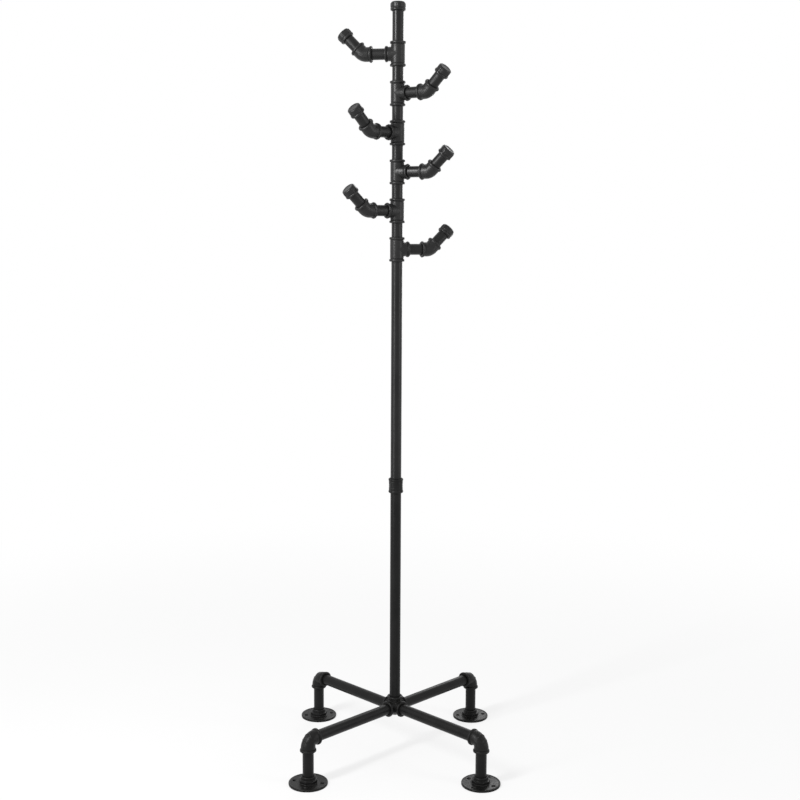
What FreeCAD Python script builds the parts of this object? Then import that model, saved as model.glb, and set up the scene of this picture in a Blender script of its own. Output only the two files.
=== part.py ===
import FreeCAD, Part
import os

import Sketcher

# Standing coat rack built from threaded steel pipe and malleable iron fittings.
# Frame: +Z up, origin on the floor under the pole, legs along the diagonals of X and Y. Millimetres.
# Every threaded end is a plain cylinder in a plain socket, thread_gap apart.

SIZES = [
    ("pipe_od", 26.9, "outside of all pipe and nipples"),
    ("pipe_bore", 21.6, "inside of all pipe and nipples"),
    ("pipe_edge", 0.8, "chamfer on each cut end"),
    ("thread_gap", 0.05, "radial clearance of a pipe in its socket"),
    ("socket_depth", 13.0, "depth of each threaded socket"),
    ("end_gap", 0.5, "pipe end to socket shoulder"),
    ("water_bore", 20.0, "waterway through the fittings"),
    ("mouth", 0.8, "chamfer at each socket mouth"),
    ("band_width", 5.2, "length of the bead round each outlet"),
    ("band_edge", 1.3, "chamfer on the bead"),
    ("riser_gap", 60.2, "riser showing between foot flange and elbow"),
    ("leg_gap", 234.6, "leg pipe showing between hub and elbow"),
    ("lower_pole_gap", 527.8, "lower pole showing between hub and coupling"),
    ("upper_pole_gap", 540.0, "upper pole showing between coupling and lowest tee"),
    ("nipple_gap", 34.5, "nipple showing between two tees"),
    ("top_gap", 71.5, "top pipe showing between highest tee and top cap"),
    ("stem_gap", 32.5, "hook stem showing between tee and bend"),
    ("peg_gap", 30.8, "hook peg showing between bend and cap"),
    ("tee_reach", 29.5, "tee centre to each end of its run"),
    ("tee_branch", 30.5, "tee centre to the end of its branch"),
    ("tee_od", 33.6, "tee body"),
    ("tee_band_od", 38.0, "tee beads"),
    ("bend_reach", 22.0, "hook bend centre to each outlet"),
    ("bend_angle", 45.0, "rise of the hook peg above level"),
    ("bend_radius", 20.0, "centreline radius of the hook bend"),
    ("bend_od", 34.4, "hook bend body"),
    ("bend_band_od", 39.2, "hook bend beads"),
    ("elbow_reach", 29.0, "foot elbow centre to each outlet"),
    ("elbow_angle", 90.0, "turn of the foot elbow"),
    ("elbow_radius", 22.0, "centreline radius of the foot elbow"),
    ("elbow_od", 35.4, "foot elbow body"),
    ("elbow_band_od", 39.6, "foot elbow beads"),
    ("corner_allowance", 0.1, "metal left proud where an elbow's outer corner is rounded"),
    ("hub_reach", 29.0, "hub centre to each outlet"),
    ("hub_od", 34.6, "hub outlets"),
    ("hub_core_od", 43.0, "ball at the middle of the hub"),
    ("hub_band_od", 39.6, "hub beads"),
    ("coupling_length", 36.0, "coupling, end to end"),
    ("coupling_band_od", 36.8, "coupling beads"),
    ("coupling_waist_od", 34.2, "coupling at its middle"),
    ("coupling_rib", 3.2, "width of the coupling's two grip ribs"),
    ("coupling_rib_step", 0.5, "how far those ribs lie below the beads"),
    ("cap_height", 21.0, "cap, mouth to end face"),
    ("cap_top", 5.0, "metal over the end of the cap's socket"),
    ("cap_od", 34.0, "cap body"),
    ("cap_band_od", 36.6, "cap bead"),
    ("cap_round", 4.0, "rounding between cap wall and end face"),
    ("cap_dish_od", 20.0, "shallow dish in the cap's end face"),
    ("cap_dish_depth", 0.8, "depth of that dish"),
    ("cap_rib", 3.4, "width of each grip rib on the cap"),
    ("flange_od", 94.4, "foot flange"),
    ("flange_plate", 5.6, "foot flange plate"),
    ("flange_lip", 2.6, "width of the raised lip round the plate"),
    ("flange_dip", 0.8, "depth of the plate inside its lip"),
    ("flange_height", 21.0, "foot flange boss above the floor"),
    ("flange_step_height", 12.5, "eight-sided step of the boss"),
    ("flange_step_od", 42.0, "across the flats of that step"),
    ("flange_neck_od", 35.0, "round neck of the boss"),
    ("flange_pitch", 69.0, "pitch circle of the screw holes"),
    ("flange_hole", 6.4, "screw hole"),
    ("flange_sink", 10.4, "countersink of the screw hole"),
    ("flange_edge", 1.0, "rounding of the plate's outer edge"),
    ("first_leg_aim", 45.0, "direction of the first leg"),
    ("foot_aim_1", -38.0, "turn of the first foot flange's holes from its leg's direction"),
    ("foot_aim_2", -32.0, "turn of the second"),
    ("foot_aim_3", 33.0, "turn of the third"),
    ("foot_aim_4", 10.0, "turn of the fourth"),
    ("hook_aim_1", 19.3, "direction of the lowest hook arm from +X"),
    ("hook_aim_2", 210.2, "direction of the second hook arm up"),
    ("hook_aim_3", -25.4, "direction of the third"),
    ("hook_aim_4", 220.5, "direction of the fourth"),
    ("hook_aim_5", -34.7, "direction of the fifth"),
    ("hook_aim_6", 169.5, "direction of the highest"),
]

LEGS = 4
HOOKS = 6
FLANGE_HOLES = 4
FLANGE_SIDES = 8
CAP_RIBS = 4
COUPLING_RIBS = 2
OVERRUN = 1.0

doc = FreeCAD.newDocument("coat_rack")
sheet = doc.addObject("Spreadsheet::Sheet", "sizes")
for row, (alias, value, note) in enumerate(SIZES, start=1):
    sheet.set(f"A{row}", alias)
    sheet.set(f"B{row}", str(value))
    sheet.setAlias(f"B{row}", alias)
    sheet.set(f"C{row}", note)
doc.recompute()

GRIP = "(sizes.socket_depth - sizes.end_gap)"
AXIS_Z = "(sizes.flange_height + sizes.riser_gap + sizes.elbow_reach)"
COUPLING_Z = f"({AXIS_Z} + sizes.hub_reach + sizes.lower_pole_gap + sizes.coupling_length / 2)"
FIRST_TEE_Z = f"({COUPLING_Z} + sizes.coupling_length / 2 + sizes.upper_pole_gap + sizes.tee_reach)"
TEE_STEP = "(2 * sizes.tee_reach + sizes.nipple_gap)"
LEG_X = "(sizes.hub_reach + sizes.leg_gap + sizes.elbow_reach)"
BEND_X = "(sizes.tee_branch + sizes.stem_gap + sizes.bend_reach)"
WATER_R = "sizes.water_bore / 2"
SOCKET_R = "(sizes.pipe_od / 2 + sizes.thread_gap)"

parts = []


def size(expression):
    """The number that an expression of the sheet's sizes comes to."""
    return float(sheet.evalExpression(str(expression)))


def frame(x="0", y="0", z="0", axis="0; 0; 1", angle="0"):
    """A placement, written as an expression."""
    return f"placement(vector({x}; {y}; {z}); rotation(vector({axis}); {angle}))"


def new_body(name, *frames):
    """A body of its own for one piece, placed by the product of the frames."""
    body = doc.addObject("PartDesign::Body", name)
    body.Label = name
    body.setExpression("Placement", " * ".join(frames))
    parts.append(body)
    return body


def new_sketch(body, role, turn="0", lift="0"):
    """A sketch on one of the body's origin planes, lifted off it and turned in it."""
    sketch = body.newObject("Sketcher::SketchObject", body.Name + "_outline")
    plane = [item for item in body.Origin.OriginFeatures if item.Role == role][0]
    sketch.AttachmentSupport = [(plane, "")]
    sketch.MapMode = "FlatFace"
    sketch.setExpression("AttachmentOffset", frame(z=lift, angle=turn))
    return sketch


def pin_point(sketch, curve, end, x, y):
    """Ties a point of a curve to two expressions of the sizes."""
    for kind, expression in (("DistanceX", x), ("DistanceY", y)):
        datum = Sketcher.Constraint(kind, -1, 1, curve, end, size(expression))
        number = sketch.addConstraint(datum)
        if "sizes" in str(expression):
            sketch.setExpression(f"Constraints[{number}]", str(expression))


def draw_outline(sketch, corners, arcs=None):
    """A closed outline through the corners. An arc replaces the line after its corner: it has its
    centre on the line x = or y = the given expression, at about the given spot."""
    arcs = arcs or {}
    spots = [FreeCAD.Vector(size(x), size(y), 0) for x, y in corners]
    count = len(corners)
    ends = {}
    for index, start in enumerate(spots):
        stop = spots[(index + 1) % count]
        if index in arcs:
            middle = FreeCAD.Vector(size(arcs[index][1]), size(arcs[index][2]), 0)
            circle = Part.Circle(middle, FreeCAD.Vector(0, 0, 1), start.distanceToPoint(middle))
            first, last = circle.parameter(start), circle.parameter(stop)
            clockwise = (start - middle).cross(stop - middle).z < 0
            if clockwise:
                first, last = last, first
            curve = sketch.addGeometry(Part.ArcOfCircle(circle, first, last), False)
            ends[index] = (curve, 2, 1) if clockwise else (curve, 1, 2)
        else:
            curve = sketch.addGeometry(Part.LineSegment(start, stop), False)
            ends[index] = (curve, 1, 2)
    for index in range(count):
        here = ends[index]
        after = ends[(index + 1) % count]
        sketch.addConstraint(Sketcher.Constraint("Coincident", here[0], here[2], after[0], after[1]))
    for index, (x, y) in enumerate(corners):
        pin_point(sketch, ends[index][0], ends[index][1], x, y)
    for index, (letter, x, y) in arcs.items():
        expression = x if letter == "X" else y
        datum = Sketcher.Constraint("Distance" + letter, -1, 1, ends[index][0], 3, size(expression))
        number = sketch.addConstraint(datum)
        sketch.setExpression(f"Constraints[{number}]", str(expression))


def draw_circle(sketch, diameter, x="0", y="0"):
    """A circle of a diameter that follows the sizes."""
    spot = FreeCAD.Vector(size(x), size(y), 0)
    round_line = Part.Circle(spot, FreeCAD.Vector(0, 0, 1), size(diameter) / 2)
    curve = sketch.addGeometry(round_line, False)
    number = sketch.addConstraint(Sketcher.Constraint("Diameter", curve, size(diameter)))
    sketch.setExpression(f"Constraints[{number}]", diameter)
    pin_point(sketch, curve, 3, x, y)


def spin(body, sketch, kind, axis="H_Axis", angle="360"):
    """Turns a sketch about one of its axes, to add or to cut."""
    feature = body.newObject("PartDesign::" + kind, f"{body.Name}_{kind.lower()}")
    feature.Profile = sketch
    feature.ReferenceAxis = (sketch, [axis])
    feature.setExpression("Angle", angle)
    return feature


def extrude(body, sketch, kind, length):
    """Pads or pockets a sketch along its normal."""
    feature = body.newObject("PartDesign::" + kind, f"{body.Name}_{kind.lower()}")
    feature.Profile = sketch
    feature.setExpression("Length", length)
    return feature


def repeat_round(body, feature, count, axis_role="Z_Axis"):
    """Repeats a feature evenly round one of the body's axes."""
    axis = [item for item in body.Origin.OriginFeatures if item.Role == axis_role][0]
    doc.recompute()
    pattern = body.newObject("PartDesign::PolarPattern", body.Name + "_pattern")
    pattern.Originals = [feature]
    pattern.Axis = (axis, [""])
    pattern.Angle = 360
    pattern.Occurrences = count
    body.Tip = pattern
    return pattern


def add_outlet(body, role, turn, reach, neck, band):
    """A neck from the fitting's centre to an outlet, with a bead at its end."""
    neck_r = f"{neck} / 2"
    band_r = f"{band} / 2"
    inner = f"{reach} - sizes.band_width"
    slope = f"({band} - {neck}) / 4"
    low_edge = f"{band_r} - sizes.band_edge"
    sketch = new_sketch(body, role, turn)
    draw_outline(sketch, [
        ("0", "0"),
        ("0", neck_r),
        (f"{inner} - {slope}", neck_r),
        (inner, f"({low_edge} + {neck_r}) / 2"),
        (f"{inner} + sizes.band_edge", band_r),
        (f"{reach} - sizes.band_edge", band_r),
        (reach, low_edge),
        (reach, "0"),
    ])
    spin(body, sketch, "Revolution")


def cut_socket(body, role, turn, reach, start="0"):
    """The waterway from near the fitting's centre, the socket at its end and the socket's mouth."""
    shoulder = f"{reach} - sizes.socket_depth"
    past_end = f"{reach} + {OVERRUN}"
    mouth_r = f"{SOCKET_R} + sizes.mouth"
    sketch = new_sketch(body, role, turn)
    draw_outline(sketch, [
        (start, "0"),
        (start, WATER_R),
        (shoulder, WATER_R),
        (shoulder, SOCKET_R),
        (f"{reach} - sizes.mouth", SOCKET_R),
        (reach, mouth_r),
        (past_end, mouth_r),
        (past_end, "0"),
    ])
    spin(body, sketch, "Groove")


def add_ball(body, kind, diameter):
    """A ball at the fitting's centre, added or cut."""
    ball = body.newObject(f"PartDesign::{kind}Sphere", f"{body.Name}_ball")
    ball.setExpression("Radius", f"{diameter} / 2")
    return ball


def add_axis(sketch, x1, y1, x2, y2):
    """A construction line for a sketch to turn about."""
    spots = [FreeCAD.Vector(size(x1), size(y1), 0), FreeCAD.Vector(size(x2), size(y2), 0)]
    curve = sketch.addGeometry(Part.LineSegment(*spots), True)
    pin_point(sketch, curve, 1, x1, y1)
    pin_point(sketch, curve, 2, x2, y2)


def sweep_round_bend(body, sketch, radius, angle):
    """Cuts a section of the bend, drawn where the bend starts, all the way round its centreline arc."""
    add_axis(sketch, "0", radius, radius, radius)
    groove = spin(body, sketch, "Groove", axis="Axis0", angle=angle)
    groove.Reversed = True


def make_pipe(name, length, *frames):
    """A cut length of pipe along its own +Z, with both ends chamfered inside and out."""
    body = new_body(name, *frames)
    sketch = new_sketch(body, "XY_Plane")
    draw_circle(sketch, "sizes.pipe_od")
    draw_circle(sketch, "sizes.pipe_bore")
    pad = extrude(body, sketch, "Pad", length)
    doc.recompute()
    flats = [f"Face{number}" for number, face in enumerate(pad.Shape.Faces, start=1)
             if face.Surface.TypeId == "Part::GeomPlane"]
    chamfer = body.newObject("PartDesign::Chamfer", name + "_ends")
    chamfer.Base = (pad, flats)
    chamfer.setExpression("Size", "sizes.pipe_edge")
    body.Tip = chamfer
    return body


def make_tee(name, *frames):
    """A tee: its run along Z, its branch along +X."""
    body = new_body(name, *frames)
    outlets = (("90", "sizes.tee_reach"), ("-90", "sizes.tee_reach"), ("0", "sizes.tee_branch"))
    for turn, reach in outlets:
        add_outlet(body, "XZ_Plane", turn, reach, "sizes.tee_od", "sizes.tee_band_od")
    for turn, reach in outlets:
        cut_socket(body, "XZ_Plane", turn, reach)
    return body


def make_hub(name, *frames):
    """A five-way fitting: four level outlets and one up."""
    body = new_body(name, *frames)
    level = [("XZ_Plane", "0"), ("XZ_Plane", "180"), ("YZ_Plane", "0"), ("YZ_Plane", "180")]
    outlets = [*level, ("XZ_Plane", "90")]
    add_ball(body, "Additive", "sizes.hub_core_od")
    for role, turn in outlets:
        add_outlet(body, role, turn, "sizes.hub_reach", "sizes.hub_od", "sizes.hub_band_od")
    for role, turn in outlets:
        cut_socket(body, role, turn, "sizes.hub_reach")
    return body


def make_elbow(name, kind, *frames):
    """An elbow whose size names start with kind: one outlet along -X, the other turned up from +X
    by its angle, and the outer corner rounded to the bend's centreline radius."""
    angle = f"sizes.{kind}_angle"
    reach = f"sizes.{kind}_reach"
    body_r = f"sizes.{kind}_od / 2"
    radius = f"sizes.{kind}_radius"
    body = new_body(name, *frames)
    add_ball(body, "Additive", f"sizes.{kind}_od")
    for turn in ("180", angle):
        add_outlet(body, "XZ_Plane", turn, reach, f"sizes.{kind}_od", f"sizes.{kind}_band_od")
    bend_start = f"{radius} * tan({angle} / 2)"
    cut_r = f"{body_r} + sizes.corner_allowance"
    wide = f"{body_r} + {OVERRUN}"
    deep = f"{radius} / cos({angle} / 2) - {radius} + {wide}"
    sketch = new_sketch(body, "YZ_Plane", lift=f"-{bend_start}")
    draw_outline(sketch, [
        (f"-({cut_r})", "0"),
        (cut_r, "0"),
        (wide, "0"),
        (wide, f"-({deep})"),
        (f"-({wide})", f"-({deep})"),
        (f"-({wide})", "0"),
    ], arcs={0: ("Y", "0", "0")})
    sweep_round_bend(body, sketch, radius, angle)
    sketch = new_sketch(body, "YZ_Plane", lift=f"-{bend_start}")
    draw_circle(sketch, "sizes.water_bore")
    sweep_round_bend(body, sketch, radius, angle)
    for turn in ("180", angle):
        cut_socket(body, "XZ_Plane", turn, reach, start=f"{bend_start} / 2")
    return body


def make_coupling(name, *frames):
    """A straight coupling along Z, waisted between its beads, with two grip ribs."""
    body = new_body(name, *frames)
    half = "sizes.coupling_length / 2"
    band_r = "sizes.coupling_band_od / 2"
    waist_r = "sizes.coupling_waist_od / 2"
    bead = f"({half} - sizes.band_width / 2)"
    sketch = new_sketch(body, "XZ_Plane", "90")
    hollow_r = f"(({band_r} - {waist_r}) / 2 + {bead} * {bead} / (2 * ({band_r} - {waist_r})))"
    draw_outline(sketch, [
        (f"-({half})", "0"),
        (f"-({half})", f"{band_r} - sizes.band_edge"),
        (f"-({half}) + sizes.band_edge", band_r),
        (f"-{bead}", band_r),
        (bead, band_r),
        (f"{half} - sizes.band_edge", band_r),
        (half, f"{band_r} - sizes.band_edge"),
        (half, "0"),
    ], arcs={3: ("Y", "0", f"{waist_r} + {hollow_r}")})
    spin(body, sketch, "Revolution")
    sketch = new_sketch(body, "XY_Plane", lift=f"-{bead}")
    rib = "sizes.coupling_rib / 2"
    root_r = f"{SOCKET_R} + sizes.band_edge"
    rib_r = f"{band_r} - sizes.coupling_rib_step"
    draw_outline(sketch, [(root_r, f"-{rib}"), (rib_r, f"-{rib}"), (rib_r, rib), (root_r, rib)])
    ribs = extrude(body, sketch, "Pad", f"2 * {bead}")
    repeat_round(body, ribs, COUPLING_RIBS)
    for turn in ("90", "-90"):
        cut_socket(body, "XZ_Plane", turn, half)
    return body


def make_cap(name, *frames):
    """A cap with its mouth at z = 0 and its end face above, four grip ribs and a dished end."""
    body = new_body(name, *frames)
    wall_r = "sizes.cap_od / 2"
    band_r = "sizes.cap_band_od / 2"
    round_start = f"{wall_r} - sizes.cap_round"
    sketch = new_sketch(body, "XZ_Plane", "90")
    draw_outline(sketch, [
        ("0", "0"),
        ("0", f"{band_r} - sizes.band_edge"),
        ("sizes.band_edge", band_r),
        ("sizes.band_width - sizes.band_edge", band_r),
        ("sizes.band_width", wall_r),
        ("sizes.cap_height - sizes.cap_round", wall_r),
        ("sizes.cap_height", round_start),
        ("sizes.cap_height", "sizes.cap_dish_od / 2"),
        ("sizes.cap_height - sizes.cap_dish_depth", "sizes.cap_dish_od / 2 - sizes.cap_dish_depth"),
        ("sizes.cap_height - sizes.cap_dish_depth", "0"),
    ], arcs={5: ("X", "sizes.cap_height - sizes.cap_round", round_start)})
    spin(body, sketch, "Revolution")
    sketch = new_sketch(body, "XY_Plane", lift="sizes.band_width / 2")
    rib = "sizes.cap_rib / 2"
    root_r = f"{SOCKET_R} + sizes.band_edge"
    draw_outline(sketch, [(root_r, f"-{rib}"), (band_r, f"-{rib}"), (band_r, rib), (root_r, rib)])
    ribs = extrude(body, sketch, "Pad", "sizes.cap_height - sizes.cap_round - sizes.band_width / 2")
    repeat_round(body, ribs, CAP_RIBS)
    depth = "sizes.cap_height - sizes.cap_top"
    sketch = new_sketch(body, "XZ_Plane", "90")
    draw_outline(sketch, [
        (f"-{OVERRUN}", "0"),
        (f"-{OVERRUN}", f"{SOCKET_R} + sizes.mouth"),
        ("0", f"{SOCKET_R} + sizes.mouth"),
        ("sizes.mouth", SOCKET_R),
        (depth, SOCKET_R),
        (depth, "0"),
    ])
    spin(body, sketch, "Groove")
    return body


def make_foot_flange(name, *frames):
    """A floor flange on z = 0: a lipped plate, an eight-sided step, a round neck and screw holes."""
    body = new_body(name, *frames)
    rim_r = "sizes.flange_od / 2"
    neck_r = "sizes.flange_neck_od / 2"
    step_r = "sizes.flange_step_od / 2"
    plate = "sizes.flange_plate"
    floor_of_dip = f"{plate} - sizes.flange_dip"
    dip_r = f"{rim_r} - sizes.flange_lip"
    top = "sizes.flange_height"
    sketch = new_sketch(body, "XZ_Plane")
    draw_outline(sketch, [
        ("0", "0"),
        (f"{rim_r}", "0"),
        (rim_r, f"{plate} - sizes.flange_edge"),
        (f"{rim_r} - sizes.flange_edge", plate),
        (dip_r, plate),
        (f"{dip_r} - sizes.flange_dip", floor_of_dip),
        (f"{step_r} + sizes.flange_lip", floor_of_dip),
        (step_r, plate),
        (neck_r, plate),
        (neck_r, f"{top} - sizes.band_edge"),
        (f"{neck_r} - sizes.band_edge", top),
        ("0", top),
    ])
    spin(body, sketch, "Revolution", axis="V_Axis")
    sketch = new_sketch(body, "XY_Plane")
    corner_r = f"sizes.flange_step_od / 2 / cos(180 / {FLANGE_SIDES})"
    draw_outline(sketch, [
        (f"{corner_r} * cos({360 / FLANGE_SIDES * side})", f"{corner_r} * sin({360 / FLANGE_SIDES * side})")
        for side in range(FLANGE_SIDES)
    ])
    extrude(body, sketch, "Pad", "sizes.flange_step_height")
    sketch = new_sketch(body, "XZ_Plane")
    draw_outline(sketch, [
        ("0", f"-{OVERRUN}"),
        (SOCKET_R, f"-{OVERRUN}"),
        (SOCKET_R, f"{top} - sizes.mouth"),
        (f"{SOCKET_R} + sizes.mouth", top),
        (f"{SOCKET_R} + sizes.mouth", f"{top} + {OVERRUN}"),
        ("0", f"{top} + {OVERRUN}"),
    ])
    spin(body, sketch, "Groove", axis="V_Axis")
    hole_r = "sizes.flange_hole / 2"
    sink_r = "sizes.flange_sink / 2"
    sketch = new_sketch(body, "XZ_Plane")
    spot = "sizes.flange_pitch / 2"
    draw_outline(sketch, [
        (spot, f"-{OVERRUN}"),
        (f"{spot} + {hole_r}", f"-{OVERRUN}"),
        (f"{spot} + {hole_r}", f"{floor_of_dip} - ({sink_r} - {hole_r})"),
        (f"{spot} + {sink_r}", floor_of_dip),
        (f"{spot} + {sink_r}", f"{plate} + {OVERRUN}"),
        (spot, f"{plate} + {OVERRUN}"),
    ])
    add_axis(sketch, spot, "0", spot, plate)
    hole = spin(body, sketch, "Groove", axis="Axis0")
    repeat_round(body, hole, FLANGE_HOLES)
    return body


def build_base():
    """The hub and its four legs, each a pipe, an elbow, a riser and a foot flange."""
    make_hub("base_hub", frame(z=AXIS_Z, angle="sizes.first_leg_aim"))
    for leg in range(LEGS):
        aim = frame(angle=f"sizes.first_leg_aim + {360 / LEGS * leg}")
        number = leg + 1
        make_pipe(f"leg_pipe_{number}", f"sizes.leg_gap + 2 * {GRIP}", aim,
                  frame(x=f"sizes.hub_reach - {GRIP}", z=AXIS_Z, axis="0; 1; 0", angle="90"))
        make_elbow(f"leg_elbow_{number}", "elbow", aim,
                   frame(x=LEG_X, z=AXIS_Z, axis="1; 0; 0", angle="180"))
        make_pipe(f"leg_riser_{number}", f"sizes.riser_gap + 2 * {GRIP}", aim,
                  frame(x=LEG_X, z=f"sizes.flange_height - {GRIP}"))
        make_foot_flange(f"foot_flange_{number}", aim,
                         frame(x=LEG_X, angle=f"sizes.foot_aim_{number}"))


def build_pole():
    """Two long pipes joined by a coupling, the nipples between the tees, and the capped top pipe."""
    half = "sizes.coupling_length / 2"
    make_pipe("lower_pole", f"sizes.lower_pole_gap + 2 * {GRIP}",
              frame(z=f"{AXIS_Z} + sizes.hub_reach - {GRIP}"))
    make_coupling("pole_coupling", frame(z=COUPLING_Z, angle="sizes.first_leg_aim"))
    make_pipe("upper_pole", f"sizes.upper_pole_gap + 2 * {GRIP}",
              frame(z=f"{COUPLING_Z} + {half} - {GRIP}"))
    for gap in range(HOOKS - 1):
        make_pipe(f"pole_nipple_{gap + 1}", f"sizes.nipple_gap + 2 * {GRIP}",
                  frame(z=f"{FIRST_TEE_Z} + {gap} * {TEE_STEP} + sizes.tee_reach - {GRIP}"))
    top = f"({FIRST_TEE_Z} + {HOOKS - 1} * {TEE_STEP} + sizes.tee_reach)"
    make_pipe("top_pipe", f"sizes.top_gap + 2 * {GRIP}", frame(z=f"{top} - {GRIP}"))
    make_cap("top_cap", frame(z=f"{top} + sizes.top_gap"))


def build_hooks():
    """Six hook arms, lowest first: tee, level stem, bend, raised peg and cap."""
    for hook in range(HOOKS):
        number = hook + 1
        arm = frame(z=f"{FIRST_TEE_Z} + {hook} * {TEE_STEP}", angle=f"sizes.hook_aim_{number}")
        level = frame(x=f"sizes.tee_branch - {GRIP}", axis="0; 1; 0", angle="90")
        raised = frame(x=BEND_X, axis="0; 1; 0", angle="90 - sizes.bend_angle")
        make_tee(f"hook_tee_{number}", arm)
        make_pipe(f"hook_stem_{number}", f"sizes.stem_gap + 2 * {GRIP}", arm, level)
        make_elbow(f"hook_bend_{number}", "bend", arm, frame(x=BEND_X))
        make_pipe(f"hook_peg_{number}", f"sizes.peg_gap + 2 * {GRIP}", arm, raised,
                  frame(z=f"sizes.bend_reach - {GRIP}"))
        make_cap(f"hook_cap_{number}", arm, raised, frame(z="sizes.bend_reach + sizes.peg_gap"))


def check_and_export():
    """Stops on any failed object or bad solid, then writes one file for each piece."""
    doc.recompute()
    for item in doc.Objects:
        if "Invalid" in item.State or "Error" in item.State:
            raise RuntimeError(f"{item.Label} failed: {item.State}")
    for part in parts:
        shape = part.Shape
        if shape.isNull() or not shape.isValid() or len(shape.Solids) != 1:
            raise RuntimeError(f"{part.Label} is not one valid solid")
    os.makedirs("parts", exist_ok=True)
    for part in parts:
        part.Shape.exportStep(os.path.join("parts", part.Label + ".step"))
    print(len(parts), "pieces written, total height", round(max(p.Shape.BoundBox.ZMax for p in parts), 2))


build_base()
build_pole()
build_hooks()
check_and_export()
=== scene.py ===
"""Looks of a standing coat rack screwed together from threaded pipe and cast fittings.

The construction comes packed as a fixed frame: every pipe and fitting at its real size, in metres,
with +Z up and the pole on the Z axis. Pipes keep their drawn shape and get a coated finish.
Castings are moulded afresh over their drawings, with softened edges, full beads, a parting seam
and a rippled skin.
"""

import logging
import math
from dataclasses import dataclass, field
from enum import Enum

import bpy
import numpy as np
from mathutils import Matrix, Vector, noise


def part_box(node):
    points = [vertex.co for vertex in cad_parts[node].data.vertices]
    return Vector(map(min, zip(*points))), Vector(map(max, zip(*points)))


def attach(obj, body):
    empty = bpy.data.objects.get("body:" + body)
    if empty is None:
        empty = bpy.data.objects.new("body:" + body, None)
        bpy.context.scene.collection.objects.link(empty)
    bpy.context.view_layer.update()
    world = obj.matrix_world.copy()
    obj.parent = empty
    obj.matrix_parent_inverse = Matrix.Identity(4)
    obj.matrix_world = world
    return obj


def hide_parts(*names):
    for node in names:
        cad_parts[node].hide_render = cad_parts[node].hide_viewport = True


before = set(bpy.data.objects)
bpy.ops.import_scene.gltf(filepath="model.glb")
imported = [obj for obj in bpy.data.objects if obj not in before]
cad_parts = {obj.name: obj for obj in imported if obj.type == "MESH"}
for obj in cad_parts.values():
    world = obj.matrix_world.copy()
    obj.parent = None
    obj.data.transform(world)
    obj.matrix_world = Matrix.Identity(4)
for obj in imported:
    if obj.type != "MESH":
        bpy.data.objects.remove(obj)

LOG = logging.getLogger("coat_rack")
MM = 0.001
UP = Vector((0.0, 0.0, 1.0))
LEG_COUNT = 4
ARM_COUNT = 6
CAST_LEVEL = 0.010


class Body(Enum):
    """The moving groups of the rack: the stand, and the arms by number."""

    STAND = "stand"
    ARM = "hook_{number}"

    def label(self, number: int = 0) -> str:
        """The frame's name for this group.

        Args:
            number: which arm, counted from the lowest, where the group is an arm.

        Returns:
            The name of the body in the frame.
        """
        return self.value.format(number=number)


class Grain(Enum):
    """Which way a surface was worked, as the stretch of its marks along the piece."""

    DRAWN = 0.035
    CAST = 1.0


def middle(node: str) -> Vector:
    """The centre of a node's box."""
    low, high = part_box(node)
    return (low + high) / 2


def azimuth(node: str) -> float:
    """The direction of a node from the pole, in radians from +X."""
    spot = middle(node)
    return math.atan2(spot.y, spot.x)


def level_direction(angle: float) -> Vector:
    """The level unit vector at an angle from +X."""
    return Vector((math.cos(angle), math.sin(angle), 0.0))


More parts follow.
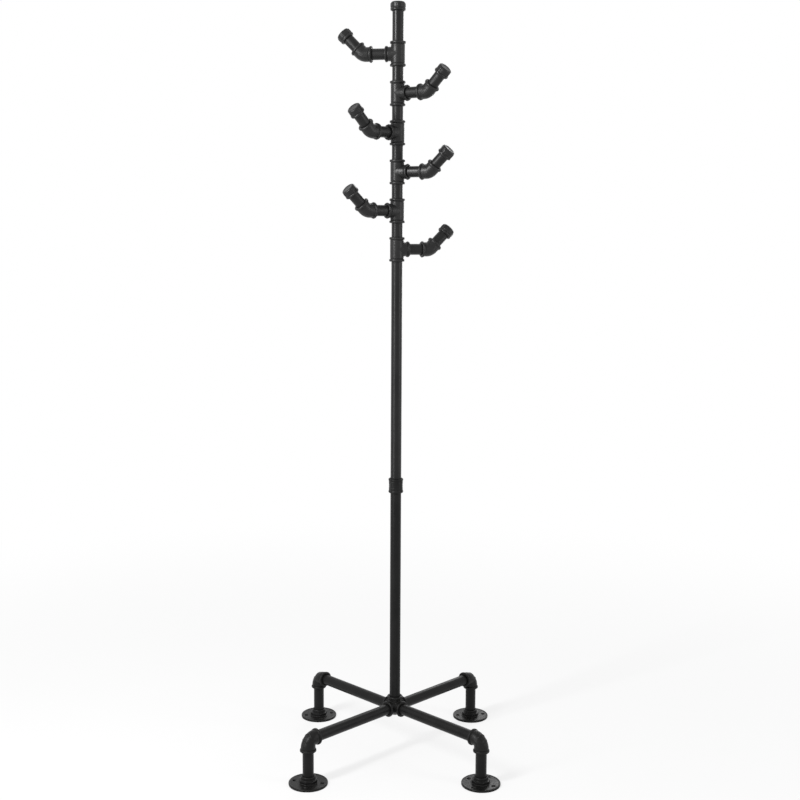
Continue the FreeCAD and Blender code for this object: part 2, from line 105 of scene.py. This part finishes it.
class NodeBench:
    """The node tree of a material or a world, with short calls that add nodes and join them."""

    def __init__(self, owner: bpy.types.Material | bpy.types.World) -> None:
        """Empties the owner's node tree.

        Args:
            owner: the material or world in the making.
        """
        owner.use_nodes = True
        self.owner = owner
        self.tree = owner.node_tree
        self.tree.nodes.clear()

    def feed(self, socket: bpy.types.NodeSocket, value: object) -> None:
        """Joins an output to an input socket, or sets the socket's own value.

        Args:
            socket: the input socket.
            value: an output socket, or a number or a tuple.
        """
        if isinstance(value, bpy.types.NodeSocket):
            self.tree.links.new(value, socket)
        else:
            socket.default_value = value

    def add(self, kind: str, settings: dict | None = None, **sockets: object) -> bpy.types.Node:
        """Adds one node.

        Args:
            kind: the node's type, without its ShaderNode prefix.
            settings: properties of the node itself.
            **sockets: input sockets by name, with _ for a space; a value, or an output to join.

        Returns:
            The new node.
        """
        node = self.tree.nodes.new("ShaderNode" + kind)
        for name, value in (settings or {}).items():
            setattr(node, name, value)
        for name, value in sockets.items():
            self.feed(node.inputs[name.replace("_", " ")], value)
        return node

    def noise(self, spots: bpy.types.NodeSocket, size: float,
              detail: float) -> bpy.types.NodeSocket:
        """Fractal noise.

        Args:
            spots: the coordinates, in metres.
            size: the width of one cell, in metres.
            detail: octaves.

        Returns:
            The noise value, about 0.3 to 0.7.
        """
        return self.add("TexNoise", Vector=spots, Scale=1 / size, Detail=detail).outputs[0]

    def ramp(self, value: bpy.types.NodeSocket, span: tuple[float, float],
             results: tuple[float, float]) -> bpy.types.NodeSocket:
        """Maps a value from one range to another with a soft start and end, held beyond both.

        Args:
            value: what is mapped.
            span: the values at which the ramp starts and ends.
            results: what they become.

        Returns:
            The mapped value.
        """
        return self.add("MapRange", {"interpolation_type": "SMOOTHSTEP"}, Value=value,
                        From_Min=span[0], From_Max=span[1], To_Min=results[0],
                        To_Max=results[1]).outputs[0]

    def blend(self, share: bpy.types.NodeSocket, first: tuple | bpy.types.NodeSocket,
              second: tuple | bpy.types.NodeSocket) -> bpy.types.NodeSocket:
        """Mixes two colours.

        Args:
            share: 0 for the first colour, 1 for the second.
            first: a colour or an output.
            second: a colour or an output.

        Returns:
            The mixed colour.
        """
        node = self.add("Mix", {"data_type": "RGBA"})
        for socket, value in ((node.inputs[0], share), (node.inputs[6], first),
                              (node.inputs[7], second)):
            self.feed(socket, value)
        return node.outputs[2]

    def combine(self, operation: str, first: object, second: object) -> bpy.types.NodeSocket:
        """Joins two values by one sum.

        Args:
            operation: the node's operation, such as ADD or MULTIPLY.
            first: a number or an output.
            second: a number or an output.

        Returns:
            The result.
        """
        node = self.add("Math", {"operation": operation})
        self.feed(node.inputs[0], first)
        self.feed(node.inputs[1], second)
        return node.outputs[0]

    def finish(self, shader: bpy.types.NodeSocket, output: str = "OutputMaterial") -> None:
        """Joins the shader to the tree's output node."""
        self.add(output, Surface=shader)


def grey(level: float, warmth: float = 0.0) -> tuple[float, float, float, float]:
    """A near-neutral colour, redder and less blue as warmth rises."""
    return (level * (1 + warmth), level, level * (1 - 2 * warmth), 1.0)


@dataclass(frozen=True)
class BlackCoat:
    """Baked black coat over iron: satin, pebbled, painted shade in crevices, cast edges rubbed and
    with a painted highlight.
    """

    name: str
    grain: Grain = Grain.CAST
    along: Vector = field(default_factory=lambda: UP.copy())
    level: float = 0.0045
    warmth: float = 0.0
    gloss_low: float = 0.3
    gloss_high: float = 0.42
    gloss_span: tuple[float, float] = (0.35, 0.65)
    shine: float = 0.25
    pebble_size: float = 1.6 * MM
    pebble_depth: float = 0.16 * MM
    mark_size: float = 3.2 * MM
    mark_depth: float = 0.14 * MM
    cloud_size: float = 55 * MM
    cloud_span: tuple[float, float] = (0.3, 0.7)
    cloud_tones: tuple[float, float] = (0.78, 1.3)
    cloud_share: float = 0.6
    crevice: float = 5.0 * MM
    crevice_span: tuple[float, float] = (0.35, 0.9)
    # The colour of the painted shade in crevices, as a share of the coat's level.
    painted_shade_tone: float = 0.15
    crevice_dulling: float = 0.45
    crevice_samples: int = 6
    speck_size: float = 1.1 * MM
    speck_span: tuple[float, float] = (0.66, 0.78)
    speck_share: float = 0.5
    speck_level: float = 0.04
    # Cast edges lighter, as rubbed metal and as a painted highlight on bead rims.
    edge_wear_and_highlight_span: tuple[float, float] = (0.53, 0.61)
    edge_wear_and_highlight_share: float = 0.8
    edge_wear_and_highlight_level: float = 0.10

    def spots(self, bench: NodeBench) -> tuple[bpy.types.NodeSocket, bpy.types.NodeSocket]:
        """Coordinates for the coat.

        Args:
            bench: the material in the making.

        Returns:
            Plain coordinates, and coordinates squeezed along the piece for its working marks.
        """
        plain = bench.add("TexCoord").outputs["Object"]
        lean = self.along.rotation_difference(UP).to_euler()
        turned = bench.add("Mapping", Vector=plain, Rotation=tuple(lean))
        squeeze = (1.0, 1.0, self.grain.value)
        return plain, bench.add("Mapping", Vector=turned.outputs[0], Scale=squeeze).outputs[0]

    def tone(self, bench: NodeBench, plain: bpy.types.NodeSocket, clouds: bpy.types.NodeSocket,
             open_air: bpy.types.NodeSocket) -> bpy.types.NodeSocket:
        """The coat's colour: clouded, specked, rubbed and with a painted highlight on a casting's
        edges, painted shade in crevices.

        Args:
            bench: the material in the making.
            plain: plain coordinates.
            clouds: the noise that clouds the coat.
            open_air: 0 deep in a crevice, 1 in the open.

        Returns:
            The colour.
        """
        thin, thick = (grey(self.level * share, self.warmth) for share in self.cloud_tones)
        tone = bench.blend(bench.ramp(clouds, self.cloud_span, (0.0, 1.0)), thin, thick)
        specks = bench.noise(plain, self.speck_size, 1.0)
        tone = bench.blend(bench.ramp(specks, self.speck_span, (0.0, self.speck_share)), tone,
                           grey(self.speck_level, self.warmth))
        if self.grain is Grain.CAST:
            # Edges by pointiness: lighter as rubbed metal and as a painted highlight on bead rims.
            edges = bench.add("NewGeometry").outputs["Pointiness"]
            tone = bench.blend(bench.ramp(edges, self.edge_wear_and_highlight_span, (0.0, self.edge_wear_and_highlight_share)), tone,
                               grey(self.edge_wear_and_highlight_level, self.warmth))
        # Painted shade: the colour goes towards near-black where ambient occlusion finds a crevice.
        return bench.blend(bench.ramp(open_air, self.crevice_span, (1.0, 0.0)), tone,
                           grey(self.level * self.painted_shade_tone))

    def roughness(self, bench: NodeBench, clouds: bpy.types.NodeSocket, marks: bpy.types.NodeSocket,
                  open_air: bpy.types.NodeSocket) -> bpy.types.NodeSocket:
        """The coat's roughness: uneven with clouds and marks, dull in crevices.

        Args:
            bench: the material in the making.
            clouds: the noise that clouds the coat.
            marks: the noise of the working marks.
            open_air: 0 deep in a crevice, 1 in the open.

        Returns:
            The roughness.
        """
        uneven = bench.combine("ADD", bench.combine("MULTIPLY", clouds, self.cloud_share),
                               bench.combine("MULTIPLY", marks, 1 - self.cloud_share))
        rough = bench.ramp(uneven, self.gloss_span, (self.gloss_low, self.gloss_high))
        dulling = bench.ramp(open_air, self.crevice_span, (self.crevice_dulling, 0.0))
        return bench.combine("ADD", rough, dulling)

    def relief(self, bench: NodeBench, plain: bpy.types.NodeSocket,
               marks: bpy.types.NodeSocket) -> bpy.types.NodeSocket:
        """The coat's relief: fine pebbles under the working marks.

        Args:
            bench: the material in the making.
            plain: plain coordinates.
            marks: the noise of the working marks.

        Returns:
            The bent normal.
        """
        pebbles = bench.noise(plain, self.pebble_size, 2.0)
        fine = bench.add("Bump", Height=pebbles, Distance=self.pebble_depth, Strength=1.0)
        return bench.add("Bump", Height=marks, Distance=self.mark_depth, Strength=1.0,
                         Normal=fine.outputs[0]).outputs[0]

    def build(self) -> bpy.types.Material:
        """Makes the coat.

        Returns:
            The coat's material.
        """
        coat = bpy.data.materials.new(self.name)
        bench = NodeBench(coat)
        plain, worked = self.spots(bench)
        clouds = bench.noise(plain, self.cloud_size, 4.0)
        marks = bench.noise(worked, self.mark_size, 4.0)
        open_air = bench.add("AmbientOcclusion", {"samples": self.crevice_samples},
                             Distance=self.crevice).outputs["AO"]
        shader = bench.add("BsdfPrincipled", Base_Color=self.tone(bench, plain, clouds, open_air),
                           Roughness=self.roughness(bench, clouds, marks, open_air),
                           Specular_IOR_Level=self.shine, Normal=self.relief(bench, plain, marks))
        bench.finish(shader.outputs[0])
        return coat


@dataclass(frozen=True)
class PaleFloor:
    """A matt white studio floor that fades into the white backdrop away from the rack."""

    level: float = 0.9
    near: float = 0.5
    far: float = 2.6
    glow_under: float = 0.74
    backdrop: float = 1.0
    grit_cells: float = 380.0
    grit_shade: float = 0.99

    def build(self) -> bpy.types.Material:
        """Makes the floor's coat.

        Returns:
            The floor's material.
        """
        coat = bpy.data.materials.new("studio_floor")
        bench = NodeBench(coat)
        spots = bench.add("TexCoord").outputs["Object"]
        distance = bench.add("VectorMath", {"operation": "LENGTH"}, Vector=spots).outputs["Value"]
        grit = bench.noise(spots, 1 / self.grit_cells, 2.0)
        tone = bench.blend(grit, grey(self.level * self.grit_shade), grey(self.level))
        paint = bench.add("BsdfDiffuse", Color=tone)
        glow = bench.add("Emission", Color=grey(self.backdrop), Strength=1.0)
        share = bench.ramp(distance, (self.near, self.far), (self.glow_under, 1.0))
        mixed = bench.add("MixShader", Fac=share)
        bench.feed(mixed.inputs[1], paint.outputs[0])
        bench.feed(mixed.inputs[2], glow.outputs[0])
        bench.finish(mixed.outputs[0])
        return coat


@dataclass(frozen=True)
class Outlet:
    """One threaded opening of a fitting, as a ray from the fitting's centre."""

    centre: Vector
    direction: Vector

    def around(self, spots: np.ndarray) -> tuple[np.ndarray, np.ndarray, np.ndarray]:
        """Measures points along and across the ray.

        Args:
            spots: the points, one row each.

        Returns:
            How far along the ray each point lies, its offset across the ray, and how long that is.
        """
        ray = np.array(self.direction)
        offset = spots - np.array(self.centre)
        reach = offset @ ray
        across = offset - reach[:, None] * ray
        return reach, across, np.linalg.norm(across, axis=1)


@dataclass(frozen=True)
class Mould:
    """How a casting departs from its drawing: soft edges, full beads, ripple, seam and rings."""

    outlets: tuple[Outlet, ...]
    seam_normal: Vector | None = None
    beaded: bool = True
    ring_heights: tuple[float, ...] = ()
    ring_half_width: float = 0.9 * MM
    ring_depth: float = 0.35 * MM
    voxel: float = 0.62 * MM
    softening: float = 0.5
    soften_rounds: int = 1
    faces_kept: float = 0.34
    ripple: float = 0.10 * MM
    ripple_size: float = 5.0 * MM
    seam_depth: float = 0.38 * MM
    seam_half_width: float = 0.95 * MM
    bore_radius: float = 13.6 * MM
    bore_skin: float = 1.6 * MM
    bore_slack: float = 0.3 * MM
    bead_width: float = 5.4 * MM
    bead_edge: float = 1.5 * MM
    bead_height: float = 2.4 * MM
    undercut_width: float = 2.2 * MM
    undercut: float = 0.8 * MM

    def poured(self, drawing: bpy.types.Object) -> bpy.types.Mesh:
        """An even, soft-edged mesh over the drawing.

        Args:
            drawing: the fitting's node in the frame, which is left as it is.

        Returns:
            A new closed mesh of even small faces.
        """
        blank = bpy.data.objects.new("blank", drawing.data.copy())
        bpy.context.scene.collection.objects.link(blank)
        remesh = blank.modifiers.new("even", "REMESH")
        remesh.mode = "VOXEL"
        remesh.voxel_size = self.voxel
        smooth = blank.modifiers.new("soft", "SMOOTH")
        smooth.factor = self.softening
        smooth.iterations = self.soften_rounds
        return self.settled(blank)

    def thinned(self, mesh: bpy.types.Mesh) -> bpy.types.Mesh:
        """The same skin with fewer faces where it is plain.

        Args:
            mesh: the skin, which is used up.

        Returns:
            The thinned skin.
        """
        blank = bpy.data.objects.new("blank", mesh)
        bpy.context.scene.collection.objects.link(blank)
        blank.modifiers.new("thin", "DECIMATE").ratio = self.faces_kept
        return self.settled(blank)

    @staticmethod
    def settled(blank: bpy.types.Object) -> bpy.types.Mesh:
        """Carries out an object's modifiers.

        Args:
            blank: the object, which is used up together with its mesh.

        Returns:
            The mesh that the modifiers give.
        """
        graph = bpy.context.evaluated_depsgraph_get()
        made = bpy.data.meshes.new_from_object(blank.evaluated_get(graph))
        spent = blank.data
        bpy.data.objects.remove(blank)
        bpy.data.meshes.remove(spent)
        return made

    def bores(self, spots: np.ndarray) -> tuple[np.ndarray, np.ndarray]:
        """Finds the skin of the threaded bores and opens it clear of the pipes.

        Args:
            spots: the mesh's points, one row each.

        Returns:
            The points with the bores opened, and which of them lie inside a bore.
        """
        inside = np.zeros(len(spots), bool)
        for outlet in self.outlets:
            reach, across, radius = outlet.around(spots)
            held = (reach > 0) & (radius < self.bore_radius + self.bore_slack)
            socket = held & (radius > self.bore_radius - self.bore_skin)
            grow = np.maximum(self.bore_radius / np.maximum(radius, MM), 1.0)
            spots = np.where(socket[:, None], spots + across * (grow - 1.0)[:, None], spots)
            inside |= held
        return spots, inside

    def beads(self, spots: np.ndarray, inside: np.ndarray) -> np.ndarray:
        """Fills out the bead at each outlet to a round ring, with an undercut behind it.

        Args:
            spots: the mesh's points, one row each.
            inside: which of them lie inside a bore.

        Returns:
            The points with full beads.
        """
        for outlet in self.outlets:
            reach, across, radius = outlet.around(spots)
            mouth = reach[inside & (reach > 0)].max()
            back = mouth - reach
            ring = ~inside & (back < self.bead_width)
            crown = radius[ring].max()
            skin = ~inside & (radius > crown - self.bead_height)
            off_crown = np.clip(np.abs(2 * back / self.bead_width - 1), 0, 1)
            round_radius = crown - self.bead_edge * (1 - np.sqrt(1 - off_crown**2))
            wanted = np.where(skin & ring, np.maximum(radius, round_radius), radius)
            off_cut = np.abs(2 * (back - self.bead_width) / self.undercut_width - 1)
            cut = skin & (off_cut < 1)
            wanted = np.where(cut, wanted - self.undercut * (1 - off_cut**2), wanted)
            spots = spots + across * (wanted / np.maximum(radius, MM) - 1)[:, None]
        return spots

    def skin(self, spots: np.ndarray) -> np.ndarray:
        """How far each point of the outer skin stands out.

        Args:
            spots: the mesh's points, one row each.

        Returns:
            The height of ripple, seam and rings together at each point.
        """
        waves = [noise.noise(Vector(spot) / self.ripple_size) for spot in spots]
        height = np.array(waves) * self.ripple
        if self.seam_normal is not None:
            centre = np.array(self.outlets[0].centre)
            off_seam = np.abs((spots - centre) @ np.array(self.seam_normal)) / self.seam_half_width
            height += self.seam_depth * np.clip(1 - off_seam**2, 0, 1)
        for ring in self.ring_heights:
            off_ring = np.abs(spots[:, 2] - ring) / self.ring_half_width
            height += self.ring_depth * np.clip(1 - off_ring**2, 0, 1)
        return height

    def cast(self, drawing: bpy.types.Object, name: str) -> bpy.types.Mesh:
        """Makes the casting's mesh, with nothing of it below the floor.

        Args:
            drawing: the fitting's node in the frame.
            name: the new mesh's name.

        Returns:
            The finished mesh, smooth shaded, in the frame's coordinates.
        """
        mesh = self.poured(drawing)
        count = len(mesh.vertices)
        flat = np.zeros(count * 3)
        mesh.vertices.foreach_get("co", flat)
        facing = np.zeros(count * 3)
        mesh.vertices.foreach_get("normal", facing)
        spots, inside = self.bores(flat.reshape(-1, 3))
        if self.beaded:
            spots = self.beads(spots, inside)
        height = np.where(inside, 0.0, self.skin(spots))
        spots = spots + facing.reshape(-1, 3) * height[:, None]
        spots[:, 2] = np.maximum(spots[:, 2], 0.0)
        mesh.vertices.foreach_set("co", spots.ravel())
        mesh.update()
        mesh = self.thinned(mesh)
        mesh.name = name
        mesh.materials.clear()
        mesh.shade_smooth()
        return mesh


@dataclass
class Piece:
    """A shown piece of the rack, standing for one node of the frame."""

    node: str
    body: str
    mesh: bpy.types.Mesh
    coat: bpy.types.Material
    place: Matrix = field(default_factory=lambda: Matrix.Identity(4))

    def build(self) -> bpy.types.Object:
        """Puts the piece in its place, coats it and hides the node that it stands for.

        Returns:
            The piece.
        """
        piece = bpy.data.objects.new("cast_" + self.node, self.mesh)
        bpy.context.scene.collection.objects.link(piece)
        piece.matrix_world = self.place
        if not self.mesh.materials:
            self.mesh.materials.append(self.coat)
        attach(piece, self.body)
        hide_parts(self.node)
        LOG.info("%s: cast fitting on %s, %d faces", piece.name, self.body, len(self.mesh.polygons))
        return piece


def coat_pipe(node: str, coat: bpy.types.Material) -> None:
    """Gives a pipe of the frame its coat.

    Args:
        node: the pipe's node.
        coat: its material.
    """
    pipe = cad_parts[node]
    pipe.data.materials.clear()
    pipe.data.materials.append(coat)
    LOG.info("%s: coated pipe", node)


@dataclass
class Base:
    """The hub and its four legs."""

    warmth: float = 0.012
    cast_level: float = 0.0065
    pipe_level: float = 0.0055
    shine: float = 0.15
    foot_voxel: float = 0.75 * MM
    below_sole: float = 1.0 * MM

    def outlets_of_elbow(self, number: int) -> tuple[Outlet, ...]:
        """The two openings of a leg's elbow: towards the hub and down.

        Args:
            number: which leg.

        Returns:
            The openings.
        """
        centre = Vector((*middle(f"leg_riser_{number}").xy, middle(f"leg_pipe_{number}").z))
        inward = -level_direction(azimuth(f"leg_riser_{number}"))
        return Outlet(centre, inward), Outlet(centre, -UP)

    def build(self) -> None:
        """Moulds and coats every fitting of the base and coats its pipes."""
        stand = Body.STAND.label()
        coat = BlackCoat("base_cast_coat", level=self.cast_level, warmth=self.warmth,
                         shine=self.shine).build()
        axis = middle("leg_pipe_1").z
        hub_centre = Vector((0.0, 0.0, axis))
        aims = [azimuth(f"leg_riser_{leg}") for leg in range(1, LEG_COUNT + 1)]
        level = tuple(Outlet(hub_centre, level_direction(aim)) for aim in aims)
        hub = Mould((*level, Outlet(hub_centre, UP)), seam_normal=UP)
        Piece("base_hub", stand, hub.cast(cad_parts["base_hub"], "hub"), coat).build()
        side = level_direction(aims[0]).cross(UP)
        elbow = Mould(self.outlets_of_elbow(1), seam_normal=side).cast(
            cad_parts["leg_elbow_1"], "elbow")
        for leg, aim in enumerate(aims, start=1):
            turn = Matrix.Rotation(aim - aims[0], 4, "Z")
            Piece(f"leg_elbow_{leg}", stand, elbow, coat, turn).build()
            self.build_foot(leg, coat)
            self.coat_leg(leg, aim)

    def build_foot(self, leg: int, coat: bpy.types.Material) -> None:
        """Moulds one foot flange, whose bore runs right through to the sole.

        Args:
            leg: which leg.
            coat: the base's coat for castings.
        """
        node = f"foot_flange_{leg}"
        bore = Outlet(Vector((*middle(node).xy, -self.below_sole)), UP)
        mould = Mould((bore,), beaded=False, voxel=self.foot_voxel)
        Piece(node, Body.STAND.label(), mould.cast(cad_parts[node], node), coat).build()

    def coat_leg(self, leg: int, aim: float) -> None:
        """Coats the pipes of one leg, with their marks along each pipe.

        Args:
            leg: which leg.
            aim: the leg's direction, in radians from +X.
        """
        level = BlackCoat(f"leg_coat_{leg}", Grain.DRAWN, level_direction(aim), self.pipe_level,
                          self.warmth, shine=self.shine)
        upright = BlackCoat(f"riser_coat_{leg}", Grain.DRAWN, UP, self.pipe_level, self.warmth,
                            shine=self.shine)
        coat_pipe(f"leg_pipe_{leg}", level.build())
        coat_pipe(f"leg_riser_{leg}", upright.build())


@dataclass
class Pole:
    """The two long pipes, their coupling, the nipples between the tees, and the capped top."""

    ring_spacing: float = 5.4 * MM
    rings: int = 3
    low_level: float = 0.006
    low_shine: float = 0.14
    gloss_low: float = 0.27
    gloss_high: float = 0.37

    def build(self, coat: bpy.types.Material) -> None:
        """Moulds the coupling and the top cap and coats the upright pipes.

        Args:
            coat: the castings' coat.
        """
        stand = Body.STAND.label()
        centre = middle("pole_coupling")
        heights = tuple(centre.z + self.ring_spacing * (ring - (self.rings - 1) / 2)
                        for ring in range(self.rings))
        ends = (Outlet(centre, UP), Outlet(centre, -UP))
        seam = level_direction(azimuth("leg_riser_1")).cross(UP)
        coupling = Mould(ends, seam_normal=seam, ring_heights=heights)
        dark = BlackCoat("coupling_coat", level=self.low_level, shine=self.low_shine)
        Piece("pole_coupling", stand, coupling.cast(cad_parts["pole_coupling"], "coupling"),
              dark.build()).build()
        cap = Mould((Outlet(middle("top_cap"), -UP),))
        Piece("top_cap", stand, cap.cast(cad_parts["top_cap"], "top_cap"), coat).build()
        low = BlackCoat("lower_pole_coat", Grain.DRAWN, level=self.low_level, shine=self.low_shine)
        coat_pipe("lower_pole", low.build())
        drawn = BlackCoat("pole_coat", Grain.DRAWN, gloss_low=self.gloss_low,
                          gloss_high=self.gloss_high).build()
        nipples = [f"pole_nipple_{gap}" for gap in range(1, ARM_COUNT)]
        for node in ("upper_pole", "top_pipe", *nipples):
            coat_pipe(node, drawn)


@dataclass
class ArmPatterns:
    """The three castings of a hook arm, moulded once at the lowest arm and shared by all."""

    rise: float = math.radians(45)
    tee: bpy.types.Mesh = field(init=False)
    bend: bpy.types.Mesh = field(init=False)
    cap: bpy.types.Mesh = field(init=False)
    aim: float = field(init=False)
    height: float = field(init=False)

    def __post_init__(self) -> None:
        """Moulds the tee, the bend and the cap."""
        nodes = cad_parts
        self.aim = azimuth("hook_cap_1")
        self.height = middle("hook_tee_1").z
        outward = level_direction(self.aim)
        raised = outward * math.cos(self.rise) + UP * math.sin(self.rise)
        pole = Vector((0.0, 0.0, self.height))
        peg = middle("hook_peg_1")
        bend_reach = peg.xy.length - (peg.z - self.height) / math.tan(self.rise)
        corner = pole + outward * bend_reach
        side = outward.cross(UP)
        run = (Outlet(pole, UP), Outlet(pole, -UP), Outlet(pole, outward))
        self.tee = Mould(run, seam_normal=side).cast(nodes["hook_tee_1"], "tee")
        turn = (Outlet(corner, -outward), Outlet(corner, raised))
        self.bend = Mould(turn, seam_normal=side).cast(nodes["hook_bend_1"], "bend")
        closed = (Outlet(middle("hook_cap_1"), -raised),)
        self.cap = Mould(closed).cast(nodes["hook_cap_1"], "cap")


@dataclass
class HookArm:
    """One hook arm, which turns about the pole on its tee."""

    number: int
    patterns: ArmPatterns

    def build(self, coat: bpy.types.Material) -> None:
        """Sets the arm's castings in place and coats its two pipes.

        Args:
            coat: the castings' coat.
        """
        body = Body.ARM.label(self.number)
        aim = azimuth(f"hook_cap_{self.number}")
        lift = middle(f"hook_tee_{self.number}").z - self.patterns.height
        turn = Matrix.Rotation(aim - self.patterns.aim, 4, "Z")
        place = Matrix.Translation((0.0, 0.0, lift)) @ turn
        for kind in ("tee", "bend", "cap"):
            mesh = getattr(self.patterns, kind)
            Piece(f"hook_{kind}_{self.number}", body, mesh, coat, place).build()
        outward = level_direction(aim)
        raised = outward * math.cos(self.patterns.rise) + UP * math.sin(self.patterns.rise)
        for kind, along in (("stem", outward), ("peg", raised)):
            finish = BlackCoat(f"{kind}_coat_{self.number}", Grain.DRAWN, along)
            coat_pipe(f"hook_{kind}_{self.number}", finish.build())


@dataclass(frozen=True)
class Lamp:
    """A soft rectangular lamp that faces a point on the pole.

    Its bearing is in degrees from straight in front, to the right.
    """

    name: str
    bearing: float
    distance: float
    height: float
    aim_height: float
    width: float
    tall: float
    power: float

    def build(self) -> None:
        """Hangs the lamp."""
        data = bpy.data.lights.new(self.name, "AREA")
        data.shape = "RECTANGLE"
        data.size = self.width
        data.size_y = self.tall
        data.energy = self.power
        lamp = bpy.data.objects.new(self.name, data)
        bpy.context.scene.collection.objects.link(lamp)
        bearing = level_direction(math.radians(self.bearing - 90))
        lamp.location = bearing * self.distance + UP * self.height
        aim = Vector((0.0, 0.0, self.aim_height)) - lamp.location
        lamp.rotation_euler = aim.to_track_quat("-Z", "Y").to_euler()
        LOG.info("%s: lamp of %g W", self.name, self.power)


@dataclass
class Studio:
    """A plain white studio: camera, pale floor, soft lamps and an even white surround."""

    sideways: float = -0.0042
    distance: float = 3.0
    eye: float = 1.317
    pitch: float = 6.59
    yaw: float = 0.252
    roll: float = 0.289
    lens: float = 54.9
    sensor: float = 36.0
    shift: float = -0.035
    floor_radius: float = 60.0
    floor_sides: int = 96
    surround: float = 1.0
    dimmed: float = 0.5
    lamps: tuple[Lamp, ...] = (
        Lamp("key_softbox", bearing=-50.0, distance=1.9, height=2.15, aim_height=1.5, width=0.3,
             tall=0.9, power=40.0),
        Lamp("low_softbox", bearing=-50.0, distance=2.1, height=1.0, aim_height=0.9, width=0.3,
             tall=1.5, power=16.0),
        Lamp("fill_softbox", bearing=68.0, distance=2.4, height=1.4, aim_height=1.1, width=0.4,
             tall=1.8, power=12.0),
        Lamp("rear_softbox", bearing=165.0, distance=2.6, height=1.7, aim_height=1.1, width=0.5,
             tall=1.8, power=12.0),
    )

    def build(self) -> None:
        """Sets up the whole studio."""
        bpy.context.scene.view_settings.view_transform = "Standard"
        self.place_camera()
        self.lay_floor()
        self.surround_with_white()
        for lamp in self.lamps:
            lamp.build()

    def place_camera(self) -> None:
        """Stands the camera in front of the rack, at about 0.7 of its height."""
        data = bpy.data.cameras.new("camera")
        data.sensor_width = self.sensor
        data.lens = self.lens
        data.shift_y = self.shift
        camera = bpy.data.objects.new("camera", data)
        bpy.context.scene.collection.objects.link(camera)
        upright = Matrix.Rotation(math.radians(90 - self.pitch), 4, "X")
        turned = Matrix.Rotation(math.radians(-self.yaw), 4, "Z")
        rolled = Matrix.Rotation(math.radians(self.roll), 4, "Z")
        spot = Matrix.Translation((self.sideways, -self.distance, self.eye))
        camera.matrix_world = spot @ turned @ upright @ rolled
        bpy.context.scene.camera = camera

    def lay_floor(self) -> None:
        """Lays a wide round floor under the rack."""
        turns = [math.tau * side / self.floor_sides for side in range(self.floor_sides)]
        rim = [tuple(level_direction(turn) * self.floor_radius) for turn in turns]
        mesh = bpy.data.meshes.new("floor")
        mesh.from_pydata(rim, [], [tuple(range(self.floor_sides))])
        mesh.materials.append(PaleFloor(backdrop=self.surround).build())
        floor = bpy.data.objects.new("floor", mesh)
        bpy.context.scene.collection.objects.link(floor)

    def surround_with_white(self) -> None:
        """White all round for eye and gloss, and a dimmer even light on matt surfaces."""
        world = bpy.data.worlds.new("white_room")
        bpy.context.scene.world = world
        bench = NodeBench(world)
        path = bench.add("LightPath")
        bright = bench.combine("MAXIMUM", path.outputs["Is Glossy Ray"],
                               path.outputs["Is Transmission Ray"])
        seen = bench.combine("MAXIMUM", path.outputs["Is Camera Ray"], bright)
        level = bench.add("MapRange", Value=seen, To_Min=self.dimmed, To_Max=self.surround)
        white = bench.add("Background", Color=grey(1.0), Strength=level.outputs[0])
        bench.finish(white.outputs[0], "OutputWorld")


def main() -> None:
    """Builds the studio and every sub-assembly of the rack."""
    logging.basicConfig(level=logging.INFO, format="%(name)s %(message)s")
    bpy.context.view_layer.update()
    Studio().build()
    Base().build()
    coat = BlackCoat("cast_coat", level=CAST_LEVEL).build()
    Pole().build(coat)
    patterns = ArmPatterns()
    for number in range(1, ARM_COUNT + 1):
        HookArm(number, patterns).build(coat)


if __name__ == "__main__":
    main()
